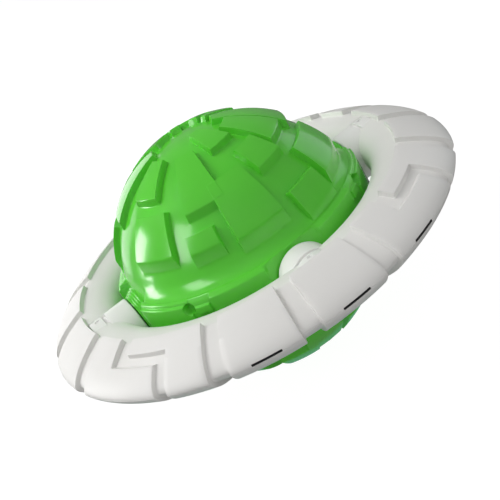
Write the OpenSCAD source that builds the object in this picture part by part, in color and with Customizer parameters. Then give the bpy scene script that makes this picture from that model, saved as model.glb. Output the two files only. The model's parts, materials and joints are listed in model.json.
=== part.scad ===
// Maze ball in a saucer ring. A hollow ball with raised maze blocks tips inside a thick
// ring on two axle studs. Inside it, a steel marble runs in a stack of three maze trays.
// +Z is up, the origin is at the middle of the flat foot, and -Y is the front.

/* [Ring] */
// Outer radius of the ring over its raised panels
ring_r = 100; // [99:0.5:104]
// Radius of the bore that the ball sits in
bore_r = 63.4; // [63.2:0.1:64]
// Half the ring's thickness at its crest, under the raised panels
crest_half_h = 11.3; // [11:0.1:11.8]
// How far the raised panels stand proud of the ring
panel_h = 2.4; // [1.6:0.1:2.8]
// Number of panel modules round the ring
modules = 16; // [16:4:16]
// Width of a groove between two panels, in degrees
groove_deg = 4.9; // [3:0.1:6]
// Length of a rim slot, in degrees
slot_deg = 7.2; // [4:0.1:8]
// Height of a rim slot
slot_h = 1.6; // [1:0.1:2.4]
// Wall of the ring's shells
ring_wall = 2.6; // [2.2:0.1:3]

/* [Ball] */
// Radius of the ball between its raised blocks
ball_r = 56; // [55.6:0.1:56.4]
// How far the raised blocks stand proud of the ball
block_h = 2.8; // [2:0.1:2.8]
// Wall of the ball's shells
ball_wall = 2.6; // [2.2:0.1:2.8]
// Outer radius of the collar round the ball's middle
collar_r = 60.3; // [60:0.1:60.4]
// Half the collar's height
collar_half_h = 11.6; // [11.2:0.1:12]
// Radius of the flat foot under the ball
foot_r = 11.8; // [10:0.1:12]

/* [Studs] */
// Radius of a stud
stud_r = 12.2; // [12:0.1:12.4]
// Distance from the ball's centre to a stud's face
stud_face = 59.2; // [59.2:0.1:59.4]
// Length of a stud
stud_len = 19.3; // [19:0.1:19.3]
// Gap between a stud's face and the flat on the ball
stud_gap = 0.6; // [0.5:0.05:0.7]
// Radius of an axle pin
axle_r = 2.5; // [2:0.1:3]

/* [Maze] */
// Radius of the marble
marble_r = 4; // [3.5:0.1:4.2]
// Radius of the circle that the marble runs on
run_r = 34.5; // [34:0.1:35]
// Height between two trays
tray_pitch = 20; // [19:0.5:20]
// Radius of the upper and the lower tray
tray_r = 41; // [40:0.5:41]
// Height of the maze walls
wall_h = 8; // [6:0.5:9]
// Thickness of the maze walls and the tray floors
wall_t = 1.6; // [1.2:0.1:2]

/* [Hidden] */
$fn = 96;

white = [0.90, 0.90, 0.88];
green = [0.30, 0.78, 0.22];
steel = [0.75, 0.76, 0.78];
ivory = [0.93, 0.90, 0.78];
amber = [0.95, 0.62, 0.15];

fit = 0.06;                       // running clearance of a pin in its hole, on the radius
seat_gap = 0.1;                   // clearance of a stud in its seat
block_r = ball_r + block_h;
inner_r = ball_r - ball_wall;
foot_z = sqrt(block_r * block_r - foot_r * foot_r);
base_r = ring_r - panel_h;
crest_r = ring_r - 20.5;
panel_half_h = crest_half_h + panel_h;
module_deg = 360 / modules;
stud_end = stud_face + stud_len;
rib_in = stud_face + 11.2;        // the rib in each seat that keeps its stud in place
rib_out = rib_in + 1.6;
rib_r = 11;
flat_x = stud_face - stud_gap;
collar_in_r = 50;
lug_r = 46;                       // circle of the screws that join the ball's shells
lug_boss_r = 4.5;
ring_screw_r = 84;                // circle of the screws that join the ring's shells
ring_screw_count = 8;
hub_steps = [8, 7, 6, 5];        // radii of the post, from its foot to its top
tray_z = [tray_pitch, 0, -tray_pitch];
drop_deg = [10, 190];             // drop holes of the upper and the middle tray
drop_r = marble_r + 0.8;
stop_deg = 90;                    // the stop wall across the marble's run
maze_out_r = run_r - marble_r - 2.8 - wall_t;
maze_in_r = maze_out_r - 13;
gate_w = 11;                      // width of a gate in a round maze wall

// Raised blocks of a dome: longitude from and to, latitude from and to. The front ones
// come first, then the ones behind, from the pole down.
blocks = [
    [153, 176, 44, 76], [193, 216, 55, 73], [199, 223, 30, 48],
    [236, 260, 43.5, 70], [232, 247, 28, 35], [254, 278, 25.5, 50.5],
    [273, 300, 64, 80], [284, 304, 43, 56], [307, 332, 47.5, 70],
    [285, 304, 15, 28], [308, 340, 22, 38],
    [333, 356, 44, 75], [8, 20, 62, 76], [24, 138, 59.5, 69],
    [33, 50, 64, 76], [71, 88, 64, 76], [100, 134, 64, 77], [56, 80, 43.5, 57], [104, 124, 43, 56], [127, 152, 47.5, 56], [19, 43, 30, 48],
    [52, 67, 28, 35], [74, 98, 25.5, 50.5], [105, 124, 15, 28], [128, 160, 22, 38]
];

// Height of the ring's plain surface at radius r
function plain_z(r) = r < crest_r
    ? crest_half_h * pow(max(0, 1 - pow((crest_r - r) / (crest_r - bore_r), 2.6)), 1 / 2.6)
    : crest_half_h * pow(max(0, 1 - (r - crest_r) / (base_r - crest_r)), 0.6);

// Points of a falling rim from the crest to the equator, even steps in height
function rim_points(rim, top, n = 9) = [
    for (i = [0 : n])
        [crest_r + (rim - crest_r) * (1 - pow(1 - i / n, 1 / 0.6)), top * (1 - i / n)]
];

// Points of the rounded bore from the equator up to the crest
function bore_points(n = 9) = [
    for (i = [0 : n - 1])
        let (r = bore_r + (crest_r - bore_r) * (1 - cos(90 * i / n)))
            [r, plain_z(r)]
];

// Every solid stands on the foot
module on_foot() {
    translate([0, 0, foot_z])
        children();
}

// A sector of a flat ring: radii, start and end angle, heights
module sector(r0, r1, a0, a1, z0, z1) {
    rotate([0, 0, a0])
        rotate_extrude(angle = a1 - a0)
            translate([r0, z0])
                square([r1 - r0, z1 - z0]);
}

// A cylinder along the direction of angle a, from distance d0 to d1
module spoke(a, r, d0, d1) {
    rotate([0, 0, a])
        rotate([0, 90, 0])
            translate([0, 0, d0])
                cylinder(r = r, h = d1 - d0);
}

// ---------- ring ----------

// Grooves between the raised panels: three straight ones and one stepped one a quarter
module panel_grooves() {
    far = ring_r + 5;
    for (k = [0 : modules - 1]) {
        mid = module_deg * (k + 0.5);
        if (k % 4 != 1)
            sector(crest_r - 3, far, mid - groove_deg / 2, mid + groove_deg / 2, -1, 30);
        else {
            sector(crest_r - 3, 89, mid - 9.5, mid - 4.7, -1, 30);
            sector(86, 91, mid - 9.5, mid + 9, -1, 30);
            sector(86, far, mid + 5.6, mid + 9, -1, 30);
        }
    }
}

// The raised panels, from the equator up
module panels() {
    difference() {
        rotate_extrude()
            polygon(concat(
                [[crest_r - 1, 0], [crest_r - 1, crest_half_h - 0.6],
                 [crest_r - 0.4, panel_half_h - 0.5]],
                rim_points(ring_r, panel_half_h)));
        panel_grooves();
    }
}

// Upper half of the ring as a solid
module ring_solid() {
    rotate_extrude()
        polygon(concat(bore_points(), rim_points(base_r, crest_half_h)));
    panels();
}

// The hollow inside the upper half of the ring
module ring_cavity() {
    r0 = bore_r + ring_wall + 0.8;
    r1 = base_r - ring_wall - 0.4;
    n = 8;
    rotate_extrude()
        polygon(concat(
            [[r0, -1]],
            [for (i = [0 : n]) let (r = r0 + (r1 - r0) * i / n)
                [r, max(0.4, plain_z(r) - ring_wall)]],
            [[r1, -1]]));
}

// Solid blocks inside the ring that seat the studs
module stud_seats() {
    intersection() {
        rotate_extrude()
            polygon(concat(bore_points(), [[crest_r, crest_half_h], [crest_r + 2, crest_half_h - 1],
                                           [crest_r + 2, 0]]));
        for (a = [0 : 90 : 270])
            rotate([0, 0, a])
                translate([bore_r - 5, -16, 0])
                    cube([30, 32, 20]);
    }
}

// What the studs need clear of the ring
module stud_room() {
    for (a = [0 : 90 : 270]) {
        spoke(a, stud_r + seat_gap, bore_r - 8, rib_in);
        spoke(a, rib_r, rib_in - 1, rib_out + 1);
        spoke(a, stud_r + seat_gap, rib_out, stud_end + seat_gap);
    }
}

// The slots on the parting line, three outside the front stud and three outside the back one
module rim_slots() {
    for (a = [90, 270])
        for (step = [-1 : 1]) {
            mid = a + step * module_deg;
            sector(base_r - 5, ring_r + 2, mid - slot_deg / 2, mid + slot_deg / 2,
                   -slot_h / 2, slot_h / 2);
        }
}

// Places its children on the circle of the ring's screws
module at_ring_screws() {
    for (i = [0 : ring_screw_count - 1])
        rotate([0, 0, 360 / ring_screw_count * (i + 0.5)])
            translate([ring_screw_r, 0, 0])
                children();
}

// One half of the ring's shell, from the equator up, with its screw posts
module ring_shell(post_r) {
    difference() {
        union() {
            difference() {
                ring_solid();
                ring_cavity();
            }
            stud_seats();
            at_ring_screws()
                cylinder(r = post_r, h = plain_z(ring_screw_r) - 1);
        }
        stud_room();
        rim_slots();
    }
}

module ring_upper() {
    color(white)
        on_foot()
            difference() {
                ring_shell(3);
                at_ring_screws()
                    translate([0, 0, -1])
                        cylinder(r = 1.5, h = 7);
            }
}

module ring_lower() {
    color(white)
        on_foot()
            mirror([0, 0, 1])
                difference() {
                    ring_shell(4.4);
                    at_ring_screws() {
                        translate([0, 0, -1])
                            cylinder(r = 1.5, h = 20);
                        translate([0, 0, 4])
                            cylinder(r = 3.1, h = 20);
                    }
                }
}

module ring_screws() {
    color(steel)
        on_foot()
            at_ring_screws()
                difference() {
                    union() {
                        translate([0, 0, -6])
                            cylinder(r = 2.9, h = 2);
                        translate([0, 0, -5])
                            cylinder(r = 1.45, h = 10);
                    }
                    translate([0, 0, -6.5])
                        cylinder(r = 1.3, h = 1.4, $fn = 6);
                }
}

// ---------- studs and axles ----------

// One stud along the direction of angle a: a broad journal with a groove near its end
module stud(a) {
    difference() {
        rotate([0, 0, a])
            rotate([0, 90, 0])
                rotate_extrude()
                    polygon([
                        [axle_r + 0.02, stud_face], [stud_r - 0.5, stud_face],
                        [stud_r, stud_face + 0.5], [stud_r, rib_in - seat_gap],
                        [rib_r - seat_gap, rib_in - seat_gap],
                        [rib_r - seat_gap, rib_out + seat_gap],
                        [stud_r, rib_out + seat_gap], [stud_r, stud_end - 0.6],
                        [stud_r - 0.6, stud_end], [axle_r + 0.02, stud_end]
                    ]);
        rotate([0, 0, a])
            translate([rib_out + 2.6, 0, stud_r - 0.8])
                cylinder(r = 1.1, h = 3);
    }
}

module stud_front() {
    color(white) on_foot() stud(270);
}

module stud_back() {
    color(white) on_foot() stud(90);
}

module stud_left() {
    color(white) on_foot() stud(180);
}

module stud_right() {
    color(white) on_foot() stud(0);
}

module axle_pin(a) {
    color(steel)
        on_foot()
            spoke(a, axle_r, 51, stud_end - 1);
}

module axle_pin_left() {
    axle_pin(180);
}

module axle_pin_right() {
    axle_pin(0);
}

// ---------- ball ----------

// Section of one raised block: its lower wall stands upright, as the mould leaves it
module block_section(lat0, lat1) {
    reach = block_r * 1.12;
    root = ball_r - 1.2;
    low_r = block_r * cos(lat0);
    polygon([
        [low_r, sqrt(max(0, root * root - low_r * low_r))],
        [low_r, sqrt(reach * reach - low_r * low_r)],
        [reach * cos(lat1), reach * sin(lat1)],
        [root * cos(lat1), root * sin(lat1)]
    ]);
}

// Raised blocks of one dome, bounded by planes through the poles
module dome_blocks() {
    intersection() {
        sphere(r = block_r);
        for (b = blocks)
            rotate([0, 0, b[0]])
                rotate_extrude(angle = b[1] - b[0])
                    block_section(b[2], b[3]);
    }
}

// Places its children on the circle of the screws that join the ball's shells
module at_lugs() {
    for (a = [45 : 90 : 315])
        rotate([0, 0, a])
            translate([lug_r, 0, 0])
                children();
}

// Foot of a dome: it flares out on to the collar and has a spigot that centres it there
module dome_foot() {
    rim_out = sqrt(ball_r * ball_r - collar_half_h * collar_half_h);
    rim_in = sqrt(inner_r * inner_r - collar_half_h * collar_half_h);
    spigot_r = collar_in_r - 0.1;
    rotate_extrude()
        polygon(concat(
            [[spigot_r - 1.6, collar_half_h - 3], [spigot_r, collar_half_h - 3],
             [spigot_r, collar_half_h], [rim_out + 2.6, collar_half_h]],
            [for (i = [0 : 5]) [rim_out + 2.4 - 4 * sin(18 * i),
                                collar_half_h + 0.4 + 4.4 * (1 - cos(18 * i))]],
            [[rim_in - 0.6, collar_half_h + 4.8], [spigot_r - 1.6, collar_half_h + 2]]));
}

// One dome, from the collar's upper face up, with a socket for the hub post
module dome_shell(post_r) {
    difference() {
        union() {
            difference() {
                union() {
                    sphere(r = ball_r);
                    dome_blocks();
                }
                sphere(r = inner_r);
                translate([0, 0, -80 + collar_half_h + 0.3])
                    cylinder(r = 80, h = 80);
            }
            dome_foot();
            // posts for the shell screws
            intersection() {
                sphere(r = inner_r + 0.5);
                at_lugs()
                    translate([0, 0, collar_half_h])
                        cylinder(r = lug_boss_r, h = 22);
            }
            // socket for the end of the hub post
            intersection() {
                sphere(r = inner_r + 0.5);
                translate([0, 0, inner_r - 7])
                    difference() {
                        cylinder(r = post_r + 2, h = 12);
                        translate([0, 0, -1])
                            cylinder(r = post_r + fit, h = 4);
                    }
            }
        }
        // pockets that clear the collar's lugs
        at_lugs()
            translate([0, 0, collar_half_h - 5])
                cylinder(r = lug_boss_r + 0.9, h = 5.3);
    }
}

module dome_upper() {
    color(green)
        on_foot()
            difference() {
                dome_shell(hub_steps[3]);
                at_lugs()
                    translate([0, 0, collar_half_h - 1])
                        cylinder(r = 1.5, h = 13);
            }
}

module dome_lower() {
    color(green)
        on_foot()
            mirror([0, 0, 1])
                difference() {
                    union() {
                        dome_shell(hub_steps[0]);
                        // round pad over the pole, which the foot is cut on
                        intersection() {
                            difference() {
                                sphere(r = block_r);
                                sphere(r = ball_r - 1.2);
                            }
                            cylinder(r = 17, h = 80);
                        }
                    }
                    translate([0, 0, foot_z])
                        cylinder(r = 40, h = 20);
                    at_lugs() {
                        cylinder(r = 1.6, h = 60);
                        translate([0, 0, collar_half_h + 8])
                            cylinder(r = 3.1, h = 60);
                    }
                    cylinder(r = 1.6, h = 80);
                    translate([0, 0, inner_r - 0.6])
                        cylinder(r = 3.1, h = 20);
                }
}

// On one side of an axle stud: a round pocket above and below, and a shallow recess with two
// pads in it
module collar_cuts() {
    for (z = [9, -9])
        translate([0, 0, z])
            spoke(42, 2.4, collar_r - 3.4, collar_r + 2);
    difference() {
        sector(collar_r - 1, collar_r + 2, 42.5, 52.6, -20, 20);
        for (z = [5.4, -5.4 - 3.8])
            sector(collar_r - 3, collar_r + 3, 44.8, 51.4, z, z + 3.8);
    }
}

module collar() {
    step = 1.1;
    color(green)
        on_foot()
            difference() {
                union() {
                    intersection() {
                        rotate_extrude()
                            polygon([
                                [collar_in_r, -collar_half_h], [collar_r - 2 * step, -collar_half_h],
                                [collar_r - 2 * step, -collar_half_h + 0.8],
                                [collar_r - step, -collar_half_h + 1.6],
                                [collar_r - step, -collar_half_h + 2.6], [collar_r, -collar_half_h + 3.4],
                                [collar_r, collar_half_h - 3.4], [collar_r - step, collar_half_h - 2.6],
                                [collar_r - step, collar_half_h - 1.6],
                                [collar_r - 2 * step, collar_half_h - 0.8],
                                [collar_r - 2 * step, collar_half_h], [collar_in_r, collar_half_h]
                            ]);
                        translate([-flat_x, -80, -20])
                            cube([2 * flat_x, 160, 40]);
                    }
                    at_lugs() {
                        translate([0, 0, -collar_half_h])
                            cylinder(r = lug_boss_r, h = 2 * collar_half_h);
                        translate([0, -3.5, -collar_half_h])
                            cube([7, 7, 2 * collar_half_h]);
                    }
                }
                // pads that clear the front and the back stud as the ball turns
                for (side = [-90, 90])
                    rotate([0, 0, side])
                        difference() {
                            translate([50, -13.5, -20])
                                cube([20, 27, 40]);
                            rotate([90, 0, 0])
                                cylinder(r = flat_x, h = 40, center = true);
                        }
                for (a = [0, 180], flip = [0, 1])
                    rotate([0, 0, a])
                        mirror([0, flip, 0])
                            collar_cuts();
                // holes for the axle bushes and the shell screws
                spoke(0, 4.55, 40, 70);
                spoke(180, 4.55, 40, 70);
                at_lugs()
                    translate([0, 0, -20])
                        cylinder(r = 1.6, h = 40);
            }
}

module shell_screws() {
    head_z = -collar_half_h - 8;
    color(steel)
        on_foot()
            at_lugs()
                difference() {
                    union() {
                        translate([0, 0, head_z - 2])
                            cylinder(r = 2.9, h = 2);
                        translate([0, 0, head_z - 0.5])
                            cylinder(r = 1.45, h = 40);
                    }
                    translate([0, 0, head_z - 3])
                        cylinder(r = 1.3, h = 2, $fn = 6);
                }
}

module axle_bush(a) {
    color(ivory)
        on_foot()
            difference() {
                spoke(a, 4.5, collar_in_r + 0.4, flat_x - 0.4);
                spoke(a, axle_r + fit, collar_in_r - 5, flat_x + 5);
            }
}

module axle_bush_left() {
    axle_bush(180);
}

module axle_bush_right() {
    axle_bush(0);
}

// ---------- maze inside the ball ----------

module hub_post() {
    reach = inner_r - 4.2;
    seats = [-tray_pitch - wall_t, -wall_t, tray_pitch - wall_t];
    color(ivory)
        on_foot()
            difference() {
                rotate_extrude()
                    polygon([
                        [0, -reach], [hub_steps[0], -reach],
                        [hub_steps[0], seats[0]], [hub_steps[1], seats[0]],
                        [hub_steps[1], seats[1]], [hub_steps[2], seats[1]],
                        [hub_steps[2], seats[2]], [hub_steps[3], seats[2]],
                        [hub_steps[3], reach], [0, reach]
                    ]);
                translate([0, 0, -reach - 1])
                    cylinder(r = 1.5, h = 16);
            }
}

module hub_screw() {
    head_z = -inner_r + 0.6;
    color(steel)
        on_foot()
            difference() {
                union() {
                    translate([0, 0, head_z - 2])
                        cylinder(r = 2.9, h = 2);
                    translate([0, 0, head_z - 0.5])
                        cylinder(r = 1.45, h = 16);
                }
                translate([0, 0, head_z - 3])
                    cylinder(r = 1.3, h = 2, $fn = 6);
            }
}

// A round tray with a rim, two round walls inside it and a hole for the hub post
module tray_plate(r, post_r) {
    rotate_extrude()
        polygon([
            [post_r + 0.1, -wall_t], [r, -wall_t], [r, wall_h],
            [r - wall_t, wall_h], [r - wall_t, 0],
            [maze_out_r + wall_t, 0], [maze_out_r + wall_t, wall_h],
            [maze_out_r, wall_h], [maze_out_r, 0],
            [maze_in_r + wall_t, 0], [maze_in_r + wall_t, wall_h],
            [maze_in_r, wall_h], [maze_in_r, 0], [post_r + 0.1, 0]
        ]);
}

// A gate cut through a round maze wall at angle a, just above the floor
module gate(a, r) {
    rotate([0, 0, a])
        translate([r - 1, -gate_w / 2, 0.01])
            cube([wall_t + 2, gate_w, wall_h + 1]);
}

// The hole that the marble drops through
module drop_hole(a) {
    rotate([0, 0, a])
        translate([run_r, 0, -5])
            cylinder(r = drop_r, h = 10);
}

// A straight maze wall at angle a from radius r0 to r1
module cross_wall(a, r0, r1) {
    rotate([0, 0, a])
        translate([r0, -wall_t / 2, -0.2])
            cube([r1 - r0, wall_t, wall_h + 0.2]);
}

// One tray: its gates and cross walls turn by a, so that no two trays are alike
module maze_tray(r, post_r, a) {
    difference() {
        tray_plate(r, post_r);
        gate(a, maze_out_r);
        gate(a + 140, maze_in_r);
    }
    for (step = [60, 185, 290])
        cross_wall(a + step, maze_in_r + wall_t / 2, maze_out_r + wall_t / 2);
}

// The wall across the run, from the run's inner side to the tray's rim
module stop_wall(a) {
    cross_wall(a, maze_out_r + wall_t / 2, tray_r - wall_t / 2);
}

module tray_upper() {
    color(ivory)
        on_foot()
            translate([0, 0, tray_z[0]])
                difference() {
                    union() {
                        maze_tray(tray_r, hub_steps[3], 75);
                        stop_wall(drop_deg[0] - 15);
                    }
                    drop_hole(drop_deg[0]);
                }
}

module tray_middle() {
    color(ivory)
        on_foot()
            translate([0, 0, tray_z[1]])
                difference() {
                    maze_tray(collar_in_r - 2.2, hub_steps[2], 250);
                    drop_hole(drop_deg[1]);
                    at_lugs()
                        translate([0, 0, -10])
                            cylinder(r = lug_boss_r + 0.6, h = 30);
                }
}

module tray_lower() {
    color(ivory)
        on_foot()
            translate([0, 0, tray_z[2]]) {
                maze_tray(tray_r, hub_steps[1], 320);
                stop_wall(stop_deg);
            }
}

// A sloping chute under the drop hole of a tray
module ramp(a, z_top) {
    half_w = drop_r + 0.6;
    head = 6;
    tail = 13;
    slope = 18;
    on_foot()
        translate([0, 0, z_top - wall_t])
            rotate([0, 0, a])
                difference() {
                    translate([run_r - half_w, 0, 0])
                        rotate([90, 0, 90])
                            linear_extrude(2 * half_w)
                                polygon([[-head, 0], [tail, 0], [tail, -9], [-head, -6]]);
                    translate([run_r, 0, -3.4])
                        rotate([-90 - slope, 0, 0])
                            translate([0, 0, -1])
                                cylinder(r = marble_r + 0.4, h = 40);
                    translate([run_r, 0, -4])
                        cylinder(r = marble_r + 0.4, h = 6);
                }
}

module ramp_upper() {
    color(amber) ramp(drop_deg[0], tray_z[0]);
}

module ramp_lower() {
    color(amber) ramp(drop_deg[1], tray_z[1]);
}

// A cup that holds the marble, between the two round walls of a tray
module cup(a, z) {
    wall = 0.9;
    cup_r = marble_r + 1.2;
    color(amber)
        on_foot()
            rotate([0, 0, a])
                translate([20.4, 0, z])
                    difference() {
                        cylinder(r = cup_r, h = 4);
                        translate([0, 0, 0.8])
                            cylinder(r = cup_r - wall, h = 4);
                    }
}

module start_cup() {
    cup(300, tray_z[0]);
}

module finish_cup() {
    cup(200, tray_z[2]);
}

module marble() {
    color(steel)
        on_foot()
            rotate([0, 0, 270])
                translate([run_r, 0, tray_z[2] + marble_r + 0.3])
                    sphere(r = marble_r);
}

ring_upper();
ring_lower();
ring_screws();
stud_front();
stud_back();
stud_left();
stud_right();
axle_pin_left();
axle_pin_right();
dome_upper();
dome_lower();
collar();
shell_screws();
axle_bush_left();
axle_bush_right();
hub_post();
hub_screw();
tray_upper();
tray_middle();
tray_lower();
ramp_upper();
ramp_lower();
start_cup();
finish_cup();
marble();
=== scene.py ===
"""Looks of the maze ball in its saucer ring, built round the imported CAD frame.

The script works in millimetres from the ball's centre, and turns them into metres in the part's
frame when a mesh is made. Angles round the ring, and longitudes on the ball, are in degrees from
+X towards +Y.
"""

import json
import math

import bmesh
import bpy
import numpy as np
from mathutils import Matrix, Vector


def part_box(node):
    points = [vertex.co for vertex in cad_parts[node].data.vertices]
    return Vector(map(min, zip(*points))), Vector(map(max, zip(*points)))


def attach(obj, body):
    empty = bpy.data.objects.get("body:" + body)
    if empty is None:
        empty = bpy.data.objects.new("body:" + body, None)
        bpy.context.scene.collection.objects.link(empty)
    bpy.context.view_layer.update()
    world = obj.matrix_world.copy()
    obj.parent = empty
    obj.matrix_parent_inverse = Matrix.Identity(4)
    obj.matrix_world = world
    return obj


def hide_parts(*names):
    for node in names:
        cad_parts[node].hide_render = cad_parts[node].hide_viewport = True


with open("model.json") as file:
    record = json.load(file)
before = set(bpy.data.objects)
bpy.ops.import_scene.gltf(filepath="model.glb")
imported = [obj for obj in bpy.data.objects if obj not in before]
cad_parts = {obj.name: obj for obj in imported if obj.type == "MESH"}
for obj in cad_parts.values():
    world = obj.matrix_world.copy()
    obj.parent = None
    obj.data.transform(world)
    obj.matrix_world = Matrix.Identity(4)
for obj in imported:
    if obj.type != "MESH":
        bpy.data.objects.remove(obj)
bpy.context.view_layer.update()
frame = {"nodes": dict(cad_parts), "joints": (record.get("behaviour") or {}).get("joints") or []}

MM = 0.001

# ---------------------------------------------------------------- sizes, from the frame

BALL_TURN = next(j for j in frame["joints"] if j["name"] == "ball_turn")
CENTRE = Vector(BALL_TURN["pos_m"])


def node_box(node):
    """Lowest and highest corner of a CAD node, in millimetres from the ball's centre."""
    low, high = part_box(node)
    return (low - CENTRE) / MM, (high - CENTRE) / MM


RING_R = node_box("ring_upper")[1].x
PANEL_TOP = node_box("ring_upper")[1].z
STUD_FACE = node_box("stud_right")[0].x
STUD_END = node_box("stud_right")[1].x
STUD_R = node_box("stud_right")[1].y
COLLAR_HALF_H = node_box("collar")[1].z
FLAT_X = node_box("collar")[1].x  # where the collar's flats face the studs
FOOT_Z = CENTRE.z / MM  # how deep the flat foot lies under the ball's centre

# Sizes that the frame doesn't hold
PANEL_H = 2.4
BASE_R = RING_R - PANEL_H  # rim of the plain ring, between the raised panels
CREST_R = RING_R - 20.5
CREST_TOP = PANEL_TOP - PANEL_H
BORE_R = 63.4
BALL_R = 56.0  # ball between its blocks
BLOCK_R = 58.8  # ball over its blocks
INNER_R = 53.4  # inside of the domes
COLLAR_R = 60.3
COLLAR_IN_R = 50.0
GAP = 0.1  # between a stud and the ring
SEAT_R = STUD_R + GAP
RIB_IN = STUD_FACE + 11.2  # the ring's rib, which sits in the stud's groove
RIB_OUT = RIB_IN + 1.6
RIB_R = 11.0
SCREW_HEAD_R = 3.1
SHELL_SCREW_R = 46.0  # how far out the screws of the ball stand
RING_SCREW_R = 84.0  # and those of the ring
STUD_ANGLES = {"right": 0, "back": 90, "left": 180, "front": 270}
AXLE_ANGLES = (0, 180)

MODULE_DEG = 22.5  # one panel and one groove
GROOVE_DEG = 4.9
STEP_DEG = (-9.5, -4.7, 5.6, 9.0)  # a stepped groove's inner leg, and its outer leg
STEP_R = (86, 90.4)  # its level run
SLOT_DEG = 7.2
SLOT_HALF_H = 0.5
SLOT_DEPTH = 4.0
SHARP_DEG = 32  # edges bent more than this are shaded sharp

# Raised blocks of a dome, in degrees: longitude from and to, latitude from and to
BLOCKS = [
    (153, 176, 44, 76), (193, 216, 55, 73), (199, 223, 30, 48),
    (236, 260, 43.5, 70), (232, 247, 28, 35), (254, 278, 25.5, 50.5),
    (273, 300, 64, 80), (284, 304, 43, 56), (307, 332, 47.5, 70),
    (285, 304, 15, 28), (308, 340, 22, 38),
    (333, 356, 44, 75), (8, 20, 62, 76), (24, 138, 59.5, 69),
    (33, 50, 64, 76), (71, 88, 64, 76), (100, 134, 64, 77),
    (56, 80, 43.5, 57), (104, 124, 43, 56), (127, 152, 47.5, 56), (19, 43, 30, 48),
    (52, 67, 28, 35), (74, 98, 25.5, 50.5), (105, 124, 15, 28), (128, 160, 22, 38),
]


# ---------------------------------------------------------------- mesh helpers

def smooth_min(a, b, k):
    """The lower of a and b, with the corner between them rounded over k."""
    h = np.clip(0.5 + 0.5 * (b - a) / k, 0, 1)
    return b * (1 - h) + a * h - k * h * (1 - h)


def smooth_max(a, b, k):
    """The higher of a and b, with the corner between them rounded over k."""
    return -smooth_min(-a, -b, k)


def smooth_step(low, high, x):
    """0 up to low, 1 from high on, and an S-shaped rise between them."""
    t = np.clip((x - low) / (high - low), 0, 1)
    return t * t * (3 - 2 * t)


def band(x, low, high, wall):
    """1 between low and high, 0 outside, with an S-shaped wall centred on each."""
    return smooth_step(low - wall / 2, low + wall / 2, x) * (
        1 - smooth_step(high - wall / 2, high + wall / 2, x)
    )


def wrapped(angle, middle, period=360.0):
    """angle measured from middle, from minus half a period to plus half."""
    return (angle - middle + period / 2) % period - period / 2


def grid_lines(low, high, features, step, gap):
    """Sorted grid values from low to high: every feature, and fill no further apart than step.

    Values closer than gap are dropped, so no sliver is made."""
    wanted = sorted(f for f in features if low < f < high)
    kept = [low]
    for value in wanted:
        if value - kept[-1] > gap:
            kept.append(value)
    if high - kept[-1] < gap and len(kept) > 1:
        kept.pop()
    kept.append(high)
    lines = []
    for a, b in zip(kept, kept[1:]):
        parts = max(1, math.ceil((b - a) / step))
        lines += [a + (b - a) * i / parts for i in range(parts)]
    lines.append(high)
    return np.array(lines)


def quads(rows, cols, wrap_rows):
    """Faces of a grid whose columns wrap round, and whose rows do too if wrap_rows."""
    count = rows if wrap_rows else rows - 1
    i, j = np.meshgrid(np.arange(count), np.arange(cols), indexing="ij")
    i, j = i.ravel(), j.ravel()
    up, along = (i + 1) % rows, (j + 1) % cols
    return np.stack([i * cols + j, i * cols + along, up * cols + along, up * cols + j], axis=1)


def new_object(name, vertices, faces, *materials):
    """A closed, smooth-shaded object from vertices in millimetres and lists of corners."""
    mesh = bpy.data.meshes.new(name)
    mesh.from_pydata((np.asarray(vertices) * MM + np.array(CENTRE)).tolist(), [], faces)
    work = bmesh.new()
    work.from_mesh(mesh)
    bmesh.ops.recalc_face_normals(work, faces=work.faces)
    work.to_mesh(mesh)
    work.free()
    shade(mesh)
    for material in materials:
        mesh.materials.append(material)
    obj = bpy.data.objects.new(name, mesh)
    bpy.context.scene.collection.objects.link(obj)
    return obj


def shade(mesh):
    """Smooth shading, but for sharp edges."""
    mesh.polygons.foreach_set("use_smooth", np.ones(len(mesh.polygons), bool))
    mesh.update()
    mesh.set_sharp_from_angle(angle=math.radians(SHARP_DEG))


def polar(r, angle, z):
    """Points from radius, angle in degrees and height, broadcast together."""
    r, angle, z = np.broadcast_arrays(r, np.radians(angle), z)
    return np.stack([r * np.cos(angle), r * np.sin(angle), z], axis=-1)


def loop_solid(name, points, *materials):
    """A solid like a ring: rows and columns of points both close on themselves."""
    faces = quads(*points.shape[:2], True).tolist()
    return new_object(name, points.reshape(-1, 3), faces, *materials)


def turn_to(angle):
    """Turns a lathe's axis, which is Z, to the direction of angle in the level plane."""
    return Matrix.Rotation(math.radians(angle), 4, "Z") @ Matrix.Rotation(math.pi / 2, 4, "Y")


def lathe_data(profile, sides, place=Matrix.Identity(4)):
    """Vertices and faces of a profile of (radius, height) turned about Z.

    A radius of 0 at both ends closes the solid on its axis. A profile with none closes on
    itself."""
    profile = np.array(profile, float)
    closed = profile[0, 0] > 0
    body = profile if closed else profile[1:-1]
    angle = np.arange(sides) * 360 / sides
    points = polar(body[:, :1], angle[None, :], body[:, 1:]).reshape(-1, 3)
    faces = quads(len(body), sides, closed).tolist()
    if not closed:
        first, last = len(points), len(points) + 1
        ends = np.array([[0, 0, profile[0, 1]], [0, 0, profile[-1, 1]]])
        points = np.vstack([points, ends])
        top = (len(body) - 1) * sides
        for j in range(sides):
            k = (j + 1) % sides
            faces.append([first, k, j])
            faces.append([last, top + j, top + k])
    rotation = np.array(place.to_3x3())
    return points @ rotation.T + np.array(place.translation), faces


def upright(r, degrees, z=0.0):
    """Moves a lathe to a radius, an angle and a height, with its axis still along Z."""
    a = math.radians(degrees)
    return Matrix.Translation((r * math.cos(a), r * math.sin(a), z))


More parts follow.
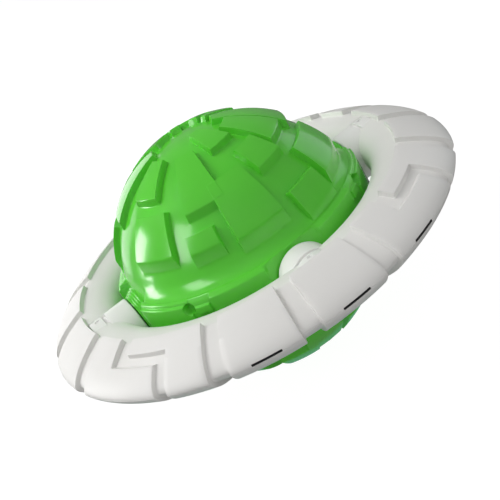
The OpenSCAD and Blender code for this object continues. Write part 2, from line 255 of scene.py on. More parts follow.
def screw_well(start, head, end, shank_r, sides, place=Matrix.Identity(4)):
    """A screw's room: wide for its head from start to head, and narrow for its shank to end."""
    profile = [(0, start), (SCREW_HEAD_R, start), (SCREW_HEAD_R, head), (shank_r, head),
               (shank_r, end), (0, end)]
    return lathe_data(profile, sides, place)


def joined(parts):
    """One set of vertices and faces from several."""
    vertices, faces, base = [], [], 0
    for points, shapes in parts:
        vertices.append(points)
        faces += [[corner + base for corner in face] for face in shapes]
        base += len(points)
    return np.vstack(vertices), faces


def rounded(corners, radius, steps):
    """A polyline with each inner corner turned into a short arc.

    radius is one number, or a list with one for each corner."""
    corners = [np.array(c, float) for c in corners]
    radii = radius if isinstance(radius, (list, tuple)) else [radius] * len(corners)
    out = [corners[0]]
    for before, here, after, size in zip(corners, corners[1:], corners[2:], radii[1:]):
        a, b = before - here, after - here
        la, lb = np.linalg.norm(a), np.linalg.norm(b)
        reach = min(size, 0.45 * la, 0.45 * lb)
        start, stop = here + a / la * reach, here + b / lb * reach
        for i in range(steps + 1):
            t = i / steps
            out.append((1 - t) ** 2 * start + 2 * t * (1 - t) * here + t * t * stop)
    out.append(corners[-1])
    return out


def carve(obj, cutter, operation="DIFFERENCE"):
    """Applies a boolean of cutter, a pair of vertices and faces, to obj."""
    tool = new_object(obj.name + "_tool", *cutter, obj.data.materials[0])
    change = obj.modifiers.new("carve", "BOOLEAN")
    change.operation = operation
    change.solver = "MANIFOLD"
    change.object = tool
    seen = obj.evaluated_get(bpy.context.evaluated_depsgraph_get())
    mesh = bpy.data.meshes.new_from_object(seen)
    obj.modifiers.clear()
    obj.data = mesh
    mesh.name = obj.name
    shade(mesh)
    bpy.data.objects.remove(tool)


# ---------------------------------------------------------------- materials

def shader(name):
    """A new material with its Principled node and the object's own coordinates."""
    material = bpy.data.materials.new(name)
    material.use_nodes = True
    tree = material.node_tree
    surface = tree.nodes["Principled BSDF"]
    place = tree.nodes.new("ShaderNodeTexCoord").outputs["Object"]
    return material, tree, surface, place


def noise(tree, place, scale, detail=3.0, rough=0.5):
    """The value of a noise texture at place."""
    node = tree.nodes.new("ShaderNodeTexNoise")
    node.inputs["Scale"].default_value = scale
    node.inputs["Detail"].default_value = detail
    node.inputs["Roughness"].default_value = rough
    tree.links.new(place, node.inputs["Vector"])
    return node.outputs["Fac"]


def map_range(tree, value, source, target):
    """A node that maps the range source, of value, to the range target."""
    node = tree.nodes.new("ShaderNodeMapRange")
    node.inputs["From Min"].default_value, node.inputs["From Max"].default_value = source
    node.inputs["To Min"].default_value, node.inputs["To Max"].default_value = target
    tree.links.new(value, node.inputs["Value"])
    return node


def ramp(tree, value, low, high):
    """Maps the range where noise mostly lies to low..high, which are numbers or colours."""
    source = (0.3, 0.7)
    if not isinstance(low, tuple):
        return map_range(tree, value, source, (low, high)).outputs["Result"]
    node = tree.nodes.new("ShaderNodeValToRGB")
    for stop, position, colour in zip(node.color_ramp.elements, source, (low, high)):
        stop.position = position
        stop.color = (*colour, 1)
    tree.links.new(value, node.inputs["Fac"])
    return node.outputs["Color"]


def bump(tree, height, surface, strength, distance):
    """Gives the surface a fine relief from height."""
    node = tree.nodes.new("ShaderNodeBump")
    node.inputs["Strength"].default_value = strength
    node.inputs["Distance"].default_value = distance
    tree.links.new(height, node.inputs["Height"])
    tree.links.new(node.outputs["Normal"], surface.inputs["Normal"])


def plastic(name, dark, light, rough, grain, grain_depth, coat=0.0, scatter=0.0):
    """Moulded plastic: faint flow marks in the colour, uneven gloss and a fine moulded grain.

    grain is how many grains there are to a metre, and grain_depth how deep they are in metres."""
    material, tree, surface, place = shader(name)
    link = tree.links.new
    link(ramp(tree, noise(tree, place, 28, 4.0), dark, light), surface.inputs["Base Color"])
    link(ramp(tree, noise(tree, place, 95, 5.0, 0.6), *rough), surface.inputs["Roughness"])
    bump(tree, noise(tree, place, grain, 2.0), surface, 0.5, grain_depth)
    surface.inputs["IOR"].default_value = 1.5
    surface.inputs["Coat Weight"].default_value = coat
    surface.inputs["Coat Roughness"].default_value = 0.06
    if scatter:
        surface.inputs["Subsurface Weight"].default_value = scatter
        surface.inputs["Subsurface Radius"].default_value = (0.6, 1.0, 0.3)
        surface.inputs["Subsurface Scale"].default_value = 0.002
    return material


def metal(name, dark, light, rough, scratch):
    """Steel with a faint cloud in its tone and fine turning marks."""
    material, tree, surface, place = shader(name)
    link = tree.links.new
    link(ramp(tree, noise(tree, place, 160, 3.0), dark, light), surface.inputs["Base Color"])
    link(ramp(tree, noise(tree, place, 420, 4.0), *rough), surface.inputs["Roughness"])
    bump(tree, noise(tree, place, scratch, 1.0), surface, 0.3, 0.00001)
    surface.inputs["Metallic"].default_value = 1.0
    return material


WHITE = plastic("white_shell", (0.765, 0.755, 0.73), (0.795, 0.787, 0.765), (0.42, 0.5),
                2600, 0.00003)
STUD_WHITE = plastic("white_stud", (0.81, 0.805, 0.785), (0.84, 0.835, 0.82), (0.3, 0.38),
                     2200, 0.00002)
GREEN = plastic("green_shell", (0.096, 0.59, 0.034), (0.114, 0.645, 0.043), (0.16, 0.22),
                900, 0.00002, coat=0.25, scatter=0.15)
# Painted shade: the slots' near-black material stands in for the shade of the hollow behind them,
# not for a lining.
SLOT_PAINTED_SHADE = plastic("slot_painted_shade", (0.055, 0.055, 0.055), (0.080, 0.080, 0.080), (0.6, 0.7),
                    1800, 0.00003)
IVORY = plastic("ivory_tray", (0.78, 0.73, 0.58), (0.84, 0.80, 0.66), (0.38, 0.46),
                1800, 0.00003)
AMBER = plastic("amber_chute", (0.80, 0.36, 0.03), (0.90, 0.44, 0.05), (0.2, 0.28),
                1500, 0.00002, coat=0.2)
STEEL = metal("zinc_screw", (0.56, 0.57, 0.59), (0.66, 0.67, 0.69), (0.26, 0.36), 2400)
MARBLE = metal("polished_steel", (0.74, 0.75, 0.77), (0.82, 0.83, 0.85), (0.05, 0.09), 1200)

# What the nodes that keep their CAD meshes are made of
FINISH = {
    "ring_screws": STEEL, "axle_pin_left": STEEL, "axle_pin_right": STEEL,
    "shell_screws": STEEL, "hub_screw": STEEL, "marble": MARBLE,
    "axle_bush_left": IVORY, "axle_bush_right": IVORY, "hub_post": IVORY,
    "tray_upper": IVORY, "tray_middle": IVORY, "tray_lower": IVORY,
    "ramp_upper": AMBER, "ramp_lower": AMBER, "start_cup": AMBER, "finish_cup": AMBER,
}
for node, material in FINISH.items():
    for place in frame["nodes"][node].material_slots:
        place.material = material


def finish(obj, body, node):
    """Hands a piece over: puts it on its body and hides the CAD node it stands for."""
    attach(obj, body)
    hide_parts(node)


# ---------------------------------------------------------------- ring

BORE_POWER = 2.6  # of the superellipse from the bore to the crest
RIM_POWER = 0.6  # of the fall from the crest to the rim
GROOVE_WALL_DEG = 0.36
STEP_WALL = 0.9
INNER_WALL = (78.4, 79.3)  # where the panels rise out of the bore's side
PANEL_EASE = 0.25  # how much lower a panel is at its inner edge
FIRST_ROW_R = 80.1  # first row of the grid outside the crest
LAST_EVEN_R = 98.2  # past this radius the rows of the grid follow heights
PARTING_LINE = 0.12  # how far the rim's edge is drawn in where the two shells meet
CAVITY_DEG = (14, 76)  # the hollow's run from one stud to the next
SHELL_WALL = 2.6  # thickness over the hollow


def crest_height(r):
    """Height of the plain ring, between the bore and the crest."""
    share = np.clip((CREST_R - r) / (CREST_R - BORE_R), 0, 1)
    return CREST_TOP * (1 - share**BORE_POWER) ** (1 / BORE_POWER)


def is_stepped(k):
    """Every fourth groove of the ring has a step in it."""
    return k % 4 == 1


def groove_mask(angle, r):
    """1 in the grooves between the raised panels, 0 on the panels."""
    mask = np.zeros(np.broadcast_shapes(angle.shape, r.shape))
    for k in range(round(360 / MODULE_DEG)):
        off = wrapped(angle, MODULE_DEG * (k + 0.5))
        if is_stepped(k):
            a0, a1, b0, b1 = STEP_DEG
            runs = [
                band(off, a0, a1, GROOVE_WALL_DEG) * band(r, 0, STEP_R[1], STEP_WALL),
                band(off, a0, b1, GROOVE_WALL_DEG) * band(r, *STEP_R, STEP_WALL),
                band(off, b0, b1, GROOVE_WALL_DEG) * band(r, STEP_R[0], 2 * RING_R, STEP_WALL),
            ]
        else:
            runs = [band(off, -GROOVE_DEG / 2, GROOVE_DEG / 2, GROOVE_WALL_DEG) + 0 * r]
        for run in runs:
            mask = np.maximum(mask, run)
    return mask


def groove_edges():
    """Angles of every groove wall."""
    edges = []
    for k in range(round(360 / MODULE_DEG)):
        middle = MODULE_DEG * (k + 0.5)
        offsets = STEP_DEG if is_stepped(k) else (-GROOVE_DEG / 2, GROOVE_DEG / 2)
        edges += [middle + offset for offset in offsets]
    return edges


def slot_middles():
    """Angles of the rim slots: three in front and three behind."""
    return [a + step * MODULE_DEG for a in (90, 270) for step in (-1, 0, 1)]


def ring_columns():
    """Angles of the ring's grid, dense where groove walls and slot ends are."""
    features = []
    across = (-0.56, -0.4, -0.25, -0.1, 0.1, 0.25, 0.4, 0.56)
    for edge in groove_edges():
        features += [edge + GROOVE_WALL_DEG * share for share in across]
    for middle in slot_middles():
        for side in (-1, 1):
            features += [middle + side * (SLOT_DEG / 2 + nudge) for nudge in (-0.03, 0.03)]
    features = [f % 360 for f in features]
    return grid_lines(0, 360, features, 1.4, 0.02)[:-1]


def ring_section():
    """Rows of the outer skin: (plain radius, plain height, panel radius, panel height, wall share).

    They run from the bore's equator over the crest to the rim's equator."""
    rows = []
    steps = 18
    for i in range(steps + 1):
        turn = math.radians(90 * i / steps)
        share = math.cos(turn) ** (2 / BORE_POWER)
        r = CREST_R - (CREST_R - BORE_R) * share
        if r > INNER_WALL[0] - 0.3:
            break
        z = CREST_TOP * math.sin(turn) ** (2 / BORE_POWER)
        rows.append((r, z, r, z, 0.0))
    low, high = INNER_WALL
    for share in (-0.12, 0.0, 0.12, 0.28, 0.5, 0.72, 0.88, 1.0):
        r = low + (high - low) * share
        z = float(crest_height(np.array(r)))
        ease = PANEL_EASE * max(0.0, share - 0.8) / 0.2
        rows.append((r, z, r, PANEL_TOP - ease, max(0.0, share)))
    features = []
    for edge in STEP_R:
        features += [edge + STEP_WALL * share for share in (-0.56, -0.4, -0.2, 0, 0.2, 0.4, 0.56)]
    nominal = grid_lines(CREST_R, LAST_EVEN_R, features + [FIRST_ROW_R], 0.8, 0.1)[1:]
    edge_heights = [2.0, 1.3, SLOT_HALF_H + 0.25, SLOT_HALF_H + 0.02, SLOT_HALF_H - 0.02,
                    0.3, 0.12, 0.0]
    for r in nominal:
        share = (r - CREST_R) / (RING_R - CREST_R)
        fall = (1 - share) ** RIM_POWER
        rows.append((CREST_R + (BASE_R - CREST_R) * share, CREST_TOP * fall, r,
                     (PANEL_TOP - PANEL_EASE * math.exp(-(r - CREST_R) / 0.5)) * fall, 1.0))
    for z in edge_heights:
        fall = z / PANEL_TOP
        share = 1 - fall ** (1 / RIM_POWER)
        rows.append((CREST_R + (BASE_R - CREST_R) * share, CREST_TOP * fall,
                     CREST_R + (RING_R - CREST_R) * share, PANEL_TOP * fall, 1.0))
    return np.array(rows)


def stud_cutter():
    """What the studs need clear of a shell: a journal room with a rib in it, at each stud."""
    profile = [(0, BORE_R - 8), (SEAT_R, BORE_R - 8), (SEAT_R, RIB_IN), (RIB_R, RIB_IN),
               (RIB_R, RIB_OUT), (SEAT_R, RIB_OUT), (SEAT_R, STUD_END + GAP), (0, STUD_END + GAP)]
    return joined([lathe_data(profile, 96, turn_to(a)) for a in STUD_ANGLES.values()])


def cavity_cutter(side):
    """The hollow of a shell, in four runs between the stud seats, open at the parting line."""
    low_r, high_r = BORE_R + 3.4, BASE_R - 3.0
    radii = np.linspace(low_r, high_r, 9)
    share = np.clip(1 - (radii - CREST_R) / (BASE_R - CREST_R), 0, 1)
    tops = np.where(radii < CREST_R, crest_height(radii), CREST_TOP * share**RIM_POWER)
    roof = list(zip(radii, np.maximum(tops - SHELL_WALL, 0.4)))
    section = np.array([(low_r, -1.0), *roof, (high_r, -1.0)])
    parts = []
    for a in STUD_ANGLES.values():
        angles = np.linspace(a + CAVITY_DEG[0], a + CAVITY_DEG[1], 32)
        points = polar(section[:, :1], angles[None, :], side * section[:, 1:])
        rows, cols = points.shape[:2]
        faces = []
        for i in range(rows):
            for j in range(cols - 1):
                k = (i + 1) % rows
                faces.append([i * cols + j, i * cols + j + 1, k * cols + j + 1, k * cols + j])
        faces.append([i * cols for i in range(rows)])
        faces.append([i * cols + cols - 1 for i in range(rows)])
        parts.append((points.reshape(-1, 3), faces))
    return joined(parts)


def ring_shell(name, side):
    """One half of the ring: side is 1 for the upper one and -1 for the lower one."""
    angle = ring_columns()[None, :]
    section = ring_section()
    plain_r, plain_z, panel_r, panel_z, share = (section[:, i : i + 1] for i in range(5))
    mask = (1 - groove_mask(angle, panel_r)) * smooth_step(0, 1, share)
    r = plain_r + (panel_r - plain_r) * mask
    z = plain_z + (panel_z - plain_z) * mask
    in_slot = np.zeros_like(r)
    for middle in slot_middles():
        at_rim = (z < SLOT_HALF_H) & (r > CREST_R)
        in_slot = np.maximum(in_slot, (np.abs(wrapped(angle, middle)) < SLOT_DEG / 2) & at_rim)
    r = r - SLOT_DEPTH * in_slot
    r[-1] -= PARTING_LINE * (in_slot[-1] < 0.5)
    outer = polar(r, angle, side * z)
    middle_r, spread = (BORE_R + BASE_R) / 2, 12.0
    bottom = polar(np.array([[middle_r + spread], [middle_r], [middle_r - spread]]), angle, 0.0)
    # the second material is painted shade on the deep faces of the rim slots
    obj = loop_solid(name, np.concatenate([outer, bottom]), WHITE, SLOT_PAINTED_SHADE)
    paint_slot_shade(obj.data)
    carve(obj, cavity_cutter(side))
    carve(obj, stud_cutter())
    return obj


def paint_slot_shade(mesh):
    """Gives the deep faces of the rim slots a near-black material, which is painted shade: the real
    slots are dark only from the hollow behind them.
    """
    count = len(mesh.polygons)
    middle = np.zeros(count * 3)
    mesh.polygons.foreach_get("center", middle)
    middle = (middle.reshape(-1, 3) - np.array(CENTRE)) / MM
    r = np.hypot(middle[:, 0], middle[:, 1])
    angle = np.degrees(np.arctan2(middle[:, 1], middle[:, 0]))
    near = np.zeros(count, bool)
    for slot in slot_middles():
        near |= np.abs(wrapped(angle, slot)) < SLOT_DEG / 2 + 0.05
    # the faces that get the painted shade
    deep = near & (r < RING_R - 0.6) & (r > BASE_R - SLOT_DEPTH - 1)
    deep &= np.abs(middle[:, 2]) < SLOT_HALF_H + 0.05
    mesh.polygons.foreach_set("material_index", deep.astype(np.int32))


finish(ring_shell("ring_top", 1), "ring", "ring_upper")
ring_bottom = ring_shell("ring_bottom", -1)
carve(ring_bottom, joined([
    screw_well(start=-20, head=-4, end=0.5, shank_r=1.5, sides=40, place=upright(RING_SCREW_R, a))
    for a in np.arange(22.5, 360, 45)
]))
finish(ring_bottom, "ring", "ring_lower")


# ---------------------------------------------------------------- studs

STUD_BORE_R = 2.52
DIMPLE = [(0, 0), (0.9, 0), (1.2, 0.4), (1.3, 2.5), (0, 2.5)]


def stud(name, angle):
    """A broad round journal with softened edges, a retaining groove and a dimple on top."""
    profile = rounded([
        (STUD_BORE_R, STUD_FACE), (STUD_R, STUD_FACE), (STUD_R, RIB_IN - GAP),
        (RIB_R - GAP, RIB_IN - GAP), (RIB_R - GAP, RIB_OUT + GAP),
        (STUD_R, RIB_OUT + GAP), (STUD_R, STUD_END), (STUD_BORE_R, STUD_END),
    ], [0, 0.7, 0.25, 0.15, 0.15, 0.3, 0.7, 0], steps=5)
    obj = new_object(name, *lathe_data(profile, 128, turn_to(angle)), STUD_WHITE)
    carve(obj, lathe_data(DIMPLE, 32, upright(RIB_OUT + 2.6, angle, STUD_R - 0.9)))
    return obj


for side, angle in STUD_ANGLES.items():
    finish(stud("journal_" + side, angle), "ring", "stud_" + side)


# ---------------------------------------------------------------- ball

EDGE = 0.34  # rounding of a block's top edges
FOOT_FILLET = 0.4  # fillet where a block meets the ball
WALL_SLOPE = 5.5  # how much a block's side wall falls for each millimetre outwards
FLANGE_R = 57.385
FLANGE_TOP = 13.0
COVE = (4.2, 5.4)  # how far the flare runs in, and up
COVE_BEND = 0.66  # 0.5 is a straight flare, 1 a hollow one
FLARE_FADE = (13.6, 16.0)  # angles from an axle stud between which the flare comes in
FLARE_LINES = np.arange(13.4, 16.3, 0.4)  # grid lines across that
FOOT_PAD_R = 17
TOP_LAT = 89.0  # last latitude of the skin before its tip
INNER_LAT = (13.0, 86.0)
SHELL_SHANK_R = 1.6


def rad(angle):
    """Degrees as radians, for a number or an array."""
    return np.radians(angle)


def base_reach():
    """The flange and the flare above it, as latitudes and distances from the ball's centre."""
    points = [(FLANGE_R, COLLAR_HALF_H), (FLANGE_R, FLANGE_TOP - 0.3),
              (FLANGE_R - 0.1, FLANGE_TOP - 0.1)]
    steps = 12
    for i in range(steps + 1):
        t = i / steps
        r = FLANGE_R - 0.25 - COVE[0] * t * (2 * COVE_BEND * (1 - t) + t)
        points.append((r, FLANGE_TOP + COVE[1] * t * (2 * (1 - COVE_BEND) * (1 - t) + t)))
    points = np.array(points)
    lat = np.degrees(np.arctan2(points[:, 1], points[:, 0]))
    return lat, np.hypot(points[:, 0], points[:, 1])


BASE_LAT, BASE_REACH = base_reach()


def lower_foot(lat0):
    """Latitude where a block's upright lower wall meets the ball's plain skin."""
    share = BLOCK_R * math.cos(math.radians(lat0)) / BALL_R
    return math.degrees(math.acos(share)) if share < 1 else BASE_LAT[0] + 0.4


def dome_lines():
    """Longitudes and latitudes of a dome's grid, dense where walls and edges are."""
    across = (-0.55, -0.3, -0.1, 0.08, 0.25, 0.42, 0.55, 0.75, 1.05)
    latitudes = list(BASE_LAT[1:])
    longitudes = [a + side * off for a in AXLE_ANGLES for side in (-1, 1) for off in FLARE_LINES]
    for lon0, lon1, lat0, lat1 in BLOCKS:
        degree = math.radians(1) * BLOCK_R * math.cos(math.radians((lat0 + lat1) / 2))
        longitudes += [lon0 - offset / degree for offset in across]
        longitudes += [lon1 + offset / degree for offset in across]
        foot = lower_foot(lat0)
        latitudes += [lat0 + 0.5, lat0 + 0.2, lat0, lat0 - 0.25, lat0 * 0.6 + foot * 0.4]
        latitudes += [foot + 0.45, foot + 0.15, foot - 0.15, foot - 0.6]
        latitudes += [lat1 + offset / (math.radians(1) * BLOCK_R) for offset in across]
    longitudes = [value % 360 for value in longitudes]
    return (grid_lines(0, 360, longitudes, 1.6, 0.1)[:-1],
            grid_lines(BASE_LAT[0], TOP_LAT, latitudes, 1.3, 0.1))


def dome_reach(lon, lat):
    """Distance from the ball's centre to the dome's skin in each direction."""
    flare = np.maximum(0, np.interp(lat, BASE_LAT, BASE_REACH, right=0) - BALL_R)
    reach = BALL_R + flare * smooth_step(*FLARE_FADE, np.abs(wrapped(lon, 0, 180.0)))
    for lon0, lon1, lat0, lat1 in BLOCKS:
        off = np.abs(wrapped(lon, (lon0 + lon1) / 2))
        side = (off - (lon1 - lon0) / 2) * rad(1) * BLOCK_R * np.cos(rad(lat))
        upper = (lat - lat1) * rad(1) * BLOCK_R
        lower = BLOCK_R * math.cos(rad(lat0)) / np.cos(rad(lat))
        block = smooth_min(BLOCK_R + 0 * reach, lower, EDGE)
        block = smooth_min(block, BLOCK_R - WALL_SLOPE * side, EDGE)
        block = smooth_min(block, BLOCK_R - WALL_SLOPE * upper, EDGE)
        reach = smooth_max(reach, block, FOOT_FILLET)
    return reach


def dome(name, side):
    """A hollow dome: side is 1 for the upper one and -1 for the lower one, which has the foot."""
    lon, lat = dome_lines()
    lon, lat = lon[None, :], lat[:, None]
    reach = dome_reach(lon, lat)
    if side < 0:
        pad_low = math.degrees(math.acos(FOOT_PAD_R / BLOCK_R))
        wall = BLOCK_R + WALL_SLOPE * (lat - pad_low) * rad(1) * BLOCK_R
        pad = smooth_min(BLOCK_R + 0 * reach, wall, EDGE)
        reach = smooth_max(reach, pad, FOOT_FILLET)
        reach = np.minimum(reach, FOOT_Z / np.sin(rad(lat)))
    outer = polar(reach * np.cos(rad(lat)), lon, side * reach * np.sin(rad(lat)))
    tip = np.array([[0, 0, side * min(reach[-1].max(), FOOT_Z if side < 0 else BALL_R)]])
    inner_lat = np.linspace(*INNER_LAT, 26)[:, None]
    inner = polar(INNER_R * np.cos(rad(inner_lat)), lon, side * INNER_R * np.sin(rad(inner_lat)))
    rim = polar(np.array([[INNER_R - 2.0]]), lon, side * COLLAR_HALF_H)
    inner = np.concatenate([rim, inner])
    inner_tip = np.array([[0, 0, side * INNER_R]])
    rows, cols = outer.shape[:2]
    inner_rows = inner.shape[0]
    base = rows * cols + 1
    vertices = np.concatenate([outer.reshape(-1, 3), tip, inner.reshape(-1, 3), inner_tip])
    faces = quads(rows, cols, False).tolist()
    faces += (quads(inner_rows, cols, False)[:, ::-1] + base).tolist()
    top, inner_top = (rows - 1) * cols, base + (inner_rows - 1) * cols
    for j in range(cols):
        k = (j + 1) % cols
        faces.append([top + j, top + k, rows * cols])
        faces.append([inner_top + k, inner_top + j, base + inner_rows * cols])
        faces.append([k, j, base + j, base + k])
    return new_object(name, vertices, faces, GREEN)


def screw_wells():
    """Wells in the lower dome: one over each shell screw, and one over the hub screw."""
    parts = [
        screw_well(start=-60, head=-COLLAR_HALF_H - 8, end=0, shank_r=SHELL_SHANK_R, sides=48,
                   place=upright(SHELL_SCREW_R, a))
        for a in (45, 135, 225, 315)
    ]
    parts.append(screw_well(start=-80, head=0.6 - INNER_R, end=-30, shank_r=SHELL_SHANK_R, sides=48))
    return joined(parts)


finish(dome("dome_top", 1), "ball", "dome_upper")
dome_bottom = dome("dome_bottom", -1)
carve(dome_bottom, screw_wells())
finish(dome_bottom, "ball", "dome_lower")


# ---------------------------------------------------------------- collar

LIP_R = FLANGE_R - 0.4
LIP_TOP = FLANGE_TOP
FLAT_HALF_DEG = 13.2  # of the flats that face the front and back studs
BOSS_R = (12.2, 12.9, 13.6, 14.3)
BOSS_STEP = 1.1
BOSS_BACK = 50.5
BOSS_EDGE = 0.25

# Beside an axle stud the collar is a plain sphere, just inside the dome's
BESIDE_R = BALL_R - 0.2
BESIDE_LEDGE_R = COLLAR_IN_R + 3.9
BESIDE_FADE = (13.8, 14.9)
BESIDE_LINES = (13.6, 13.8, 14.0, 14.3, 14.6, 14.9, 15.1)

# Runs of the collar to each side of an axle stud, in degrees: ridges with a round pocket at their
# end, a low part with a pad in it, then the plain band in front of the next stud
RIDGES_END = 42.5
LOW = (42.5, 52.6)
PAD = (44.8, 51.4)
PAD_Z = (5.4, 9.2)  # heights
POCKET = (42.0, 9.0)  # its angle and height
POCKET_R = 2.4
POCKET_DEPTH = 3.2


def collar_section(kind):
    """Half of the collar's section, from its middle up: (radius, height) with softened corners."""
    if kind == "band":
        corners = [(COLLAR_R, 0), (COLLAR_R, 11.4), (COLLAR_R - 2.2, LIP_TOP), (LIP_R, LIP_TOP)]
        return corners, [0, 0.5, 0.35, 0]
    if kind == "ridges":
        corners = [(COLLAR_R, 0), (COLLAR_R, 10.9), (COLLAR_R - 1.3, 11.3),
                   (COLLAR_R - 1.3, LIP_TOP - 0.7), (COLLAR_R - 2.2, LIP_TOP), (LIP_R, LIP_TOP)]
        return corners, [0, 0.5, 0.4, 0.5, 0.4, 0]
    corners = [(COLLAR_R - 1, 0), (COLLAR_R - 1, 10.6), (COLLAR_R - 2.2, LIP_TOP), (LIP_R, LIP_TOP)]
    return corners, [0, 0.9, 0.4, 0]


def section_radius(kind, height):
    """The collar's radius at a height above or below its middle."""
    corners, radii = collar_section(kind)
    points = np.array(rounded(corners, radii, steps=5))
    order = np.argsort(points[:, 1], kind="stable")
    return np.interp(np.abs(height), points[order, 1], points[order, 0])


def collar():
    """The stepped band round the ball's middle, with flats and bosses that face the studs."""
    wall, soft = 0.5, 0.8
    features = []
    for a in AXLE_ANGLES:
        for edge in (RIDGES_END, *LOW, *PAD):
            for share in (-0.7, -0.4, -0.15, 0.15, 0.4, 0.7):
                features += [a + edge + wall * share, a - edge - wall * share]
        for edge in BESIDE_LINES:
            features += [a + edge, a - edge]
        for share in (-1.2, -1.0, -0.85, -0.7, -0.4, 0.0, 0.4, 0.7, 0.85, 1.0, 1.2):
            reach = math.degrees(POCKET_R * share / COLLAR_R)
            features += [a + POCKET[0] + reach, a - POCKET[0] - reach]
    angle = grid_lines(0, 360, [f % 360 for f in features], 1.4, 0.05)[None, :-1]
    shares = (-1.2, -1.0, -0.85, -0.7, -0.4, 0.0, 0.4, 0.7)
    rows = [POCKET[1] + POCKET_R * share for share in shares]
    for z in PAD_Z:
        rows += [z - 0.5, z - 0.3, z - 0.1, z + 0.1, z + 0.3, z + 0.5]
    rows += list(np.arange(10.0, LIP_TOP, 0.12))
    half = grid_lines(0, LIP_TOP, rows, 1.0, 0.06)
    height = np.concatenate([-half[:0:-1], half])[:, None]
    off = np.abs(wrapped(angle, 0, 180.0))
    low = band(off, *LOW, wall)
    ridges = 1 - smooth_step(RIDGES_END - wall / 2, RIDGES_END + wall / 2, off)
    r = section_radius("band", height) * (1 - low) * (1 - ridges)
    r = r + section_radius("ridges", height) * ridges * (1 - low)
    r = r + section_radius("low", height) * low
    tall = np.abs(height)
    pad = band(off, *PAD, wall) * band(tall, *PAD_Z, soft)
    r = np.maximum(r, r * (1 - pad) + (COLLAR_R - 0.1) * pad)
    away = np.hypot((off - POCKET[0]) * rad(1) * COLLAR_R, tall - POCKET[1])
    r = r - POCKET_DEPTH * (1 - smooth_step(0.72 * POCKET_R, 1.12 * POCKET_R, away))
    beside = 1 - smooth_step(*BESIDE_FADE, off)
    r = r * (1 - beside) + np.sqrt(BESIDE_R**2 - height**2) * beside
    ledge = LIP_R * (1 - beside) + BESIDE_LEDGE_R * beside
    x, y = r * np.cos(rad(angle)), r * np.sin(rad(angle))
    x = np.clip(x, -FLAT_X, FLAT_X)
    near = np.abs(wrapped(angle, 90, 180.0)) < FLAT_HALF_DEG
    reach = np.sqrt(FLAT_X**2 - height**2)
    y = np.where(near, np.clip(y, -reach, reach), y)
    outer = np.stack([x, y, height + 0 * x], axis=-1)
    # the ledge that the dome's flange stands on, and the bore
    inner = []
    for r_in, z in (
        (ledge, LIP_TOP - 0.1), (ledge, COLLAR_HALF_H), (COLLAR_IN_R, COLLAR_HALF_H),
        (COLLAR_IN_R, -COLLAR_HALF_H), (ledge, -COLLAR_HALF_H), (ledge, -LIP_TOP + 0.1),
    ):
        inner.append(polar(r_in + 0 * angle, angle, z))
    obj = loop_solid("collar_band", np.concatenate([outer, *inner]), GREEN)
    carve(obj, bosses(), "UNION")
    return obj


def bosses():
    """A stepped round boss behind the face of each axle stud. It has no bore for the pin."""
    profile = [(0, FLAT_X)]
    for i, r in enumerate(BOSS_R):
        profile += [(r, FLAT_X - BOSS_STEP * i), (r, FLAT_X - BOSS_STEP * (i + 1))]
    profile = rounded([*profile, (BOSS_R[-1], BOSS_BACK), (0, BOSS_BACK)], BOSS_EDGE, steps=3)
    return joined([lathe_data(profile, 96, turn_to(a)) for a in AXLE_ANGLES])


finish(collar(), "ball", "collar")


# ---------------------------------------------------------------- floor, light and camera

# The floor's flat part and the wall it curves into, as radius and height in metres
FLOOR = [(4.0, 0.0), (5.2, 0.2), (6.0, 0.8), (6.3, 1.8), (6.4, 9.0)]

# Lights: name, azimuth, elevation, distance, width, height, power and colour, in degrees, metres
# and watts. The first three only show in reflections, and the last five never do.
WHITE_LIGHT = (1, 1, 1)
SHINE_LIGHTS = [
    ("shine", 147, 16, 1.2, 0.26, 0.6, 4.6, WHITE_LIGHT),
    ("side", 192, 36, 1.2, 0.36, 0.6, 3.6, WHITE_LIGHT),
    ("under", 100, -48, 1.1, 1.3, 0.8, 1.0, (0.05, 0.8, 0.45)),
]
PLAIN_LIGHTS = [
    ("rim", 16, 8, 1.2, 0.6, 0.8, 1.2, (0.85, 0.95, 1.0)),
    ("back", 105, 5, 1.1, 0.7, 0.7, 1.8, WHITE_LIGHT),
]
SOFT_LIGHTS = [
    ("key", 150, 15, 1.2, 0.5, 0.8, 3.9, WHITE_LIGHT),
    ("top", 152, 58, 1.2, 0.6, 0.6, 8.0, WHITE_LIGHT),
    ("front", 245, 50, 1.2, 0.8, 0.8, 2.2, WHITE_LIGHT),
    ("fill", 305, 20, 1.2, 0.8, 0.8, 2.1, WHITE_LIGHT),
    ("bounce", 245, -40, 1.2, 1.2, 1.2, 3.8, WHITE_LIGHT),
]


def floor():
    """A plain pale floor that curves up into a wall all round, with a faint unevenness in its tone.

    It is bright by itself, and neither lights nor shadows the object."""
    sides = 96
    profile = np.array(FLOOR)
    around = np.arange(sides)[None, :] * 360 / sides
    points = polar(profile[:, :1], around, profile[:, 1:]).reshape(-1, 3)
    faces = [list(range(sides)), *quads(len(profile), sides, False).tolist()]
    mesh = bpy.data.meshes.new("floor")
    mesh.from_pydata(points.tolist(), [], faces)
    obj = bpy.data.objects.new("floor", mesh)
    bpy.context.scene.collection.objects.link(obj)
    material, tree, surface, place = shader("pale_floor")
    tree.links.new(ramp(tree, noise(tree, place, 3), (0.10, 0.10, 0.10), (0.12, 0.12, 0.12)),
                   surface.inputs["Base Color"])
    surface.inputs["Roughness"].default_value = 0.9
    surface.inputs["Specular IOR Level"].default_value = 0.0
    surface.inputs["Emission Color"].default_value = (1, 1, 1, 1)
    surface.inputs["Emission Strength"].default_value = 0.97
    mesh.materials.append(material)
    obj.visible_diffuse = False
    obj.visible_glossy = False
    obj.visible_shadow = False


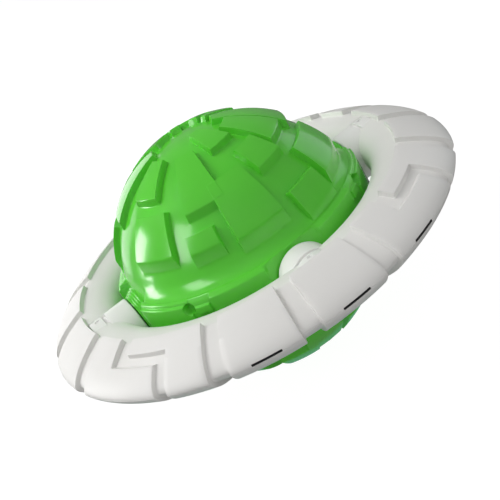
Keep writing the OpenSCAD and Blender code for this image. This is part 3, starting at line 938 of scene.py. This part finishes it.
def softbox(name, azimuth, elevation, distance, width, height, power, colour):
    """A rectangular light that faces the ball from that direction."""
    data = bpy.data.lights.new(name, "AREA")
    data.shape = "RECTANGLE"
    data.size = width
    data.size_y = height
    data.energy = power
    data.color = colour
    obj = bpy.data.objects.new(name, data)
    a, e = math.radians(azimuth), math.radians(elevation)
    direction = Vector((math.cos(e) * math.cos(a), math.cos(e) * math.sin(a), math.sin(e)))
    obj.location = CENTRE + direction * distance
    obj.rotation_euler = direction.to_track_quat("Z", "Y").to_euler()
    obj.visible_camera = False
    bpy.context.scene.collection.objects.link(obj)
    return obj


def studio():
    """A white world, darker below than above, and the lights."""
    world = bpy.data.worlds.new("studio")
    world.use_nodes = True
    tree = world.node_tree
    split = tree.nodes.new("ShaderNodeSeparateXYZ")
    tree.links.new(tree.nodes.new("ShaderNodeTexCoord").outputs["Generated"], split.inputs["Vector"])
    level = map_range(tree, split.outputs["Z"], (-0.5, 0.4), (0.14, 0.28))
    level.interpolation_type = "SMOOTHSTEP"
    tree.links.new(level.outputs["Result"], tree.nodes["Background"].inputs["Strength"])
    tree.nodes["Background"].inputs["Color"].default_value = (1, 1, 1, 1)
    bpy.context.scene.world = world
    for values in SHINE_LIGHTS:
        softbox(*values).visible_diffuse = False
    for values in PLAIN_LIGHTS:
        softbox(*values)
    for values in SOFT_LIGHTS:
        softbox(*values).visible_glossy = False


def camera():
    """The camera at the angle that the object was pictured from, rolled about its line of sight."""
    azimuth, elevation, roll = 257.243, 24.641, -32.577
    distance, right, down = 0.44816, -0.003995, -0.010932
    lens, sensor = 72.10, 36.0
    a, e, r = (math.radians(v) for v in (azimuth + 90, elevation, roll))
    level = Matrix(((math.cos(a), math.sin(a), 0),
                    (math.sin(e) * math.sin(a), -math.sin(e) * math.cos(a), -math.cos(e)),
                    (-math.cos(e) * math.sin(a), math.cos(e) * math.cos(a), -math.sin(e))))
    rolled = Matrix(((math.cos(r), -math.sin(r), 0), (math.sin(r), math.cos(r), 0), (0, 0, 1)))
    look = rolled @ level
    offset = look.transposed() @ Vector((right * distance, down * distance, distance))
    axes = Matrix((look[0], -look[1], -look[2])).transposed()
    data = bpy.data.cameras.new("camera")
    data.lens = lens
    data.sensor_width = sensor
    data.clip_end = 20
    obj = bpy.data.objects.new("camera", data)
    obj.matrix_world = Matrix.Translation(CENTRE - offset) @ axes.to_4x4()
    bpy.context.scene.collection.objects.link(obj)
    bpy.context.scene.camera = obj


floor()
studio()
camera()
bpy.context.scene.view_settings.view_transform = "Standard"
